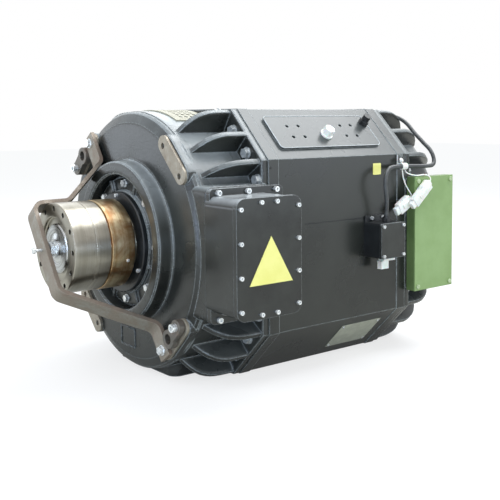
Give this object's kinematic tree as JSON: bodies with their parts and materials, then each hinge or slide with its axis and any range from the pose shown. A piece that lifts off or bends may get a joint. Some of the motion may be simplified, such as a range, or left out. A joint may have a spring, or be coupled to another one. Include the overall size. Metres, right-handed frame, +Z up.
{
  "type": "elevator traction motor",
  "caption": "Octagonal traction motor with ribbed end shields, a flanged drive hub, side terminal box and a transport strap across the hub.",
  "frame": {"origin": "centre of the drive hub's bolt face, on the shaft axis", "axes": "+X along the shaft from the drive end to the rear, +Z up, the terminal box on the -Y side"},
  "size_m": [1.0925, 0.771, 0.6428],
  "materials": {
    "black_paint": "semi-gloss black enamel on cast and welded steel",
    "bare_steel": "turned bare steel with an oil film",
    "rusty_steel": "hot rolled bare steel, brown with light rust",
    "bronze": "turned bronze",
    "zinc_steel": "zinc plated steel",
    "green_enamel": "semi-gloss green enamel",
    "yellow_plate": "yellow printed plate without print",
    "white_plastic": "moulded white plastic",
    "dark_plastic": "moulded black plastic",
    "copper_winding": "varnished copper winding",
    "lamination": "stacked electrical steel sheet",
    "black_rubber": "black rubber",
    "grille_sheet": "perforated sheet with a cream primer",
    "terminal_moulding": "red-brown thermoset moulding",
    "bare_plate": "grey aluminium plate without print"
  },
  "bodies": {
    "stator": {"stator_frame": "black_paint", "stator_core": "lamination", "stator_windings": "copper_winding", "drive_end_shield": "black_paint", "rear_end_shield": "black_paint", "mounting_pads": "rusty_steel", "bearing_housing": "black_paint", "bearing_housing_bolts": "zinc_steel", "bearing_cap": "dark_plastic", "bearing_cap_screws": "zinc_steel", "drive_end_outer_ring": "bare_steel", "rear_bearing_housing": "black_paint", "rear_bearing_cover": "black_paint", "rear_cover_bolts": "zinc_steel", "rear_outer_ring": "bare_steel", "front_shield_bolts": "zinc_steel", "rear_shield_bolts": "zinc_steel", "air_grilles": "grille_sheet", "terminal_box": "black_paint", "terminal_box_gasket": "black_rubber", "terminal_box_cover": "black_paint", "terminal_cover_screws": "zinc_steel", "terminal_flange_screws": "zinc_steel", "terminal_block": "terminal_moulding", "terminal_studs": "bronze", "triangle_plate": "yellow_plate", "square_plate": "yellow_plate", "data_plate": "bare_plate", "data_plate_rivets": "zinc_steel", "sensor_box": "dark_plastic", "sensor_box_cover": "black_paint", "sensor_box_screws": "zinc_steel", "sensor_box_plug": "white_plastic", "cable_glands": "dark_plastic", "sensor_cable": "black_rubber", "cable_clip": "white_plastic", "auxiliary_box": "green_enamel", "auxiliary_box_lid": "green_enamel", "auxiliary_lid_screws": "green_enamel", "transport_strap": "rusty_steel", "strap_foot_bolts": "zinc_steel", "strap_centre_screw": "zinc_steel", "tie_down_lugs": "rusty_steel", "lug_bolts": "zinc_steel", "port_plugs": "white_plastic", "spare_leads": "white_plastic", "spare_connectors": "white_plastic"},
    "rotor": {"shaft": "bare_steel", "drive_hub": "bare_steel", "spacer_ring": "bronze", "hub_end_plate": "zinc_steel", "hub_centre_bolt": "zinc_steel", "labyrinth_ring": "bare_steel", "drive_end_inner_ring": "bare_steel", "rear_inner_ring": "bare_steel", "rotor_core": "lamination", "rotor_cage": "bare_steel", "rotor_fan": "bare_steel"},
    "drive_end_cage": {"drive_end_roller_set": "bronze"},
    "rear_cage": {"rear_ball_set": "bronze"}
  },
  "joints": [
    {"name": "rotor_spin", "type": "hinge", "parent": "stator", "child": "rotor", "pos_m": [0, 0, 0], "axis": [1, 0, 0], "continuous": true},
    {"name": "drive_end_cage_spin", "type": "hinge", "parent": "stator", "child": "drive_end_cage", "pos_m": [0.226, 0, 0], "axis": [1, 0, 0], "continuous": true},
    {"name": "rear_cage_spin", "type": "hinge", "parent": "stator", "child": "rear_cage", "pos_m": [0.985, 0, 0], "axis": [1, 0, 0], "continuous": true}
  ],
  "couplings": [
    {"joint": "drive_end_cage_spin", "follows": "rotor_spin", "ratio": 0.4392},
    {"joint": "rear_cage_spin", "follows": "rotor_spin", "ratio": 0.4203}
  ]
}
